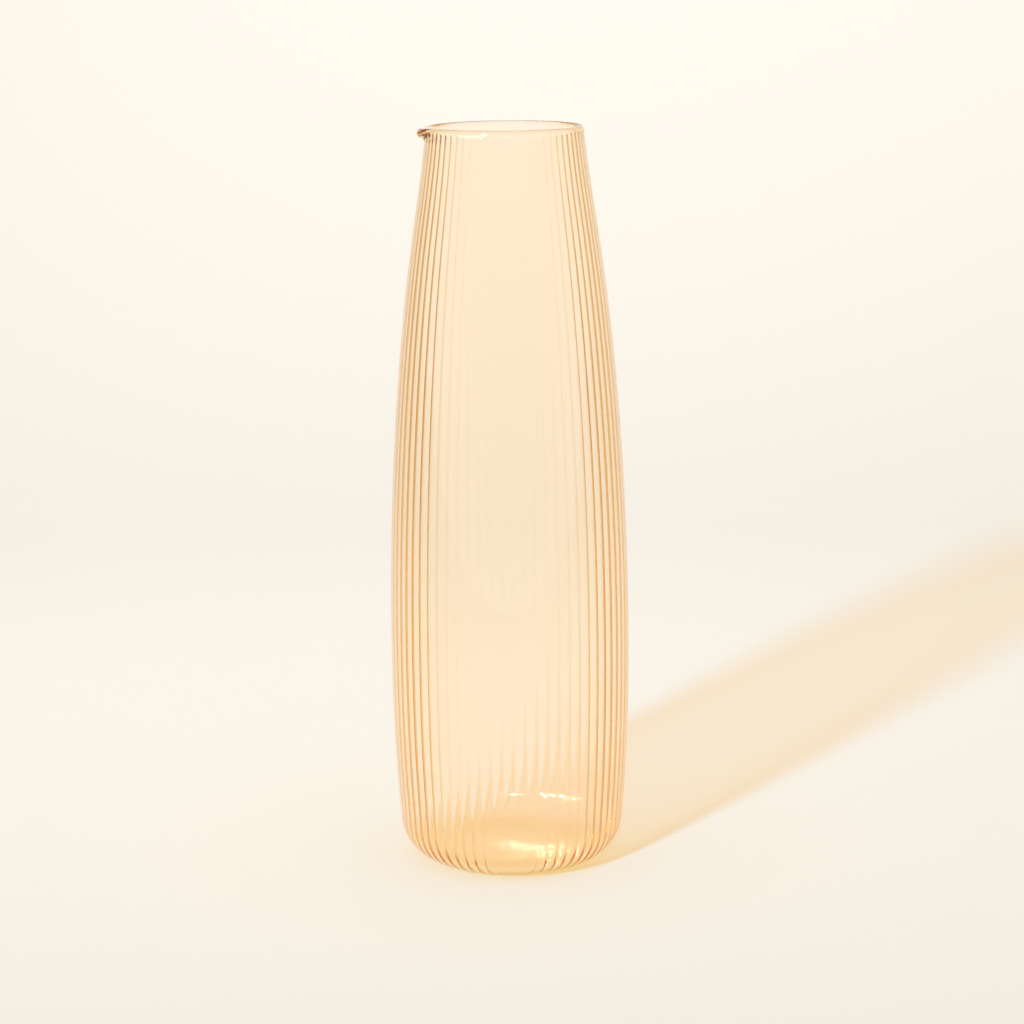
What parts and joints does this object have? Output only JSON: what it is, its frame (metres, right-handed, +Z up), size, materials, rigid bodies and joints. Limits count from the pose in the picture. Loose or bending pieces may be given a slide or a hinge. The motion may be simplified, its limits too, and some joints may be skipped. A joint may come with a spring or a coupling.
{
  "type": "vase",
  "caption": "Slender tapered vase of pale amber glass, smooth outside and finely ribbed inside, with a smooth rim, a small pouring lip and a rounded bottom corner.",
  "frame": {"origin": "centre of the foot, on the plane that the vase rests on", "axes": "+Z up along the vase's axis to the mouth; the pouring lip points along -X"},
  "size_m": [0.0974, 0.0974, 0.3],
  "materials": {
    "amber_glass": "clear, fire-polished"
  },
  "bodies": {
    "root": {"base": "amber_glass", "ribbed_wall": "amber_glass", "rim": "amber_glass", "pouring_lip": "amber_glass"}
  },
  "joints": []
}
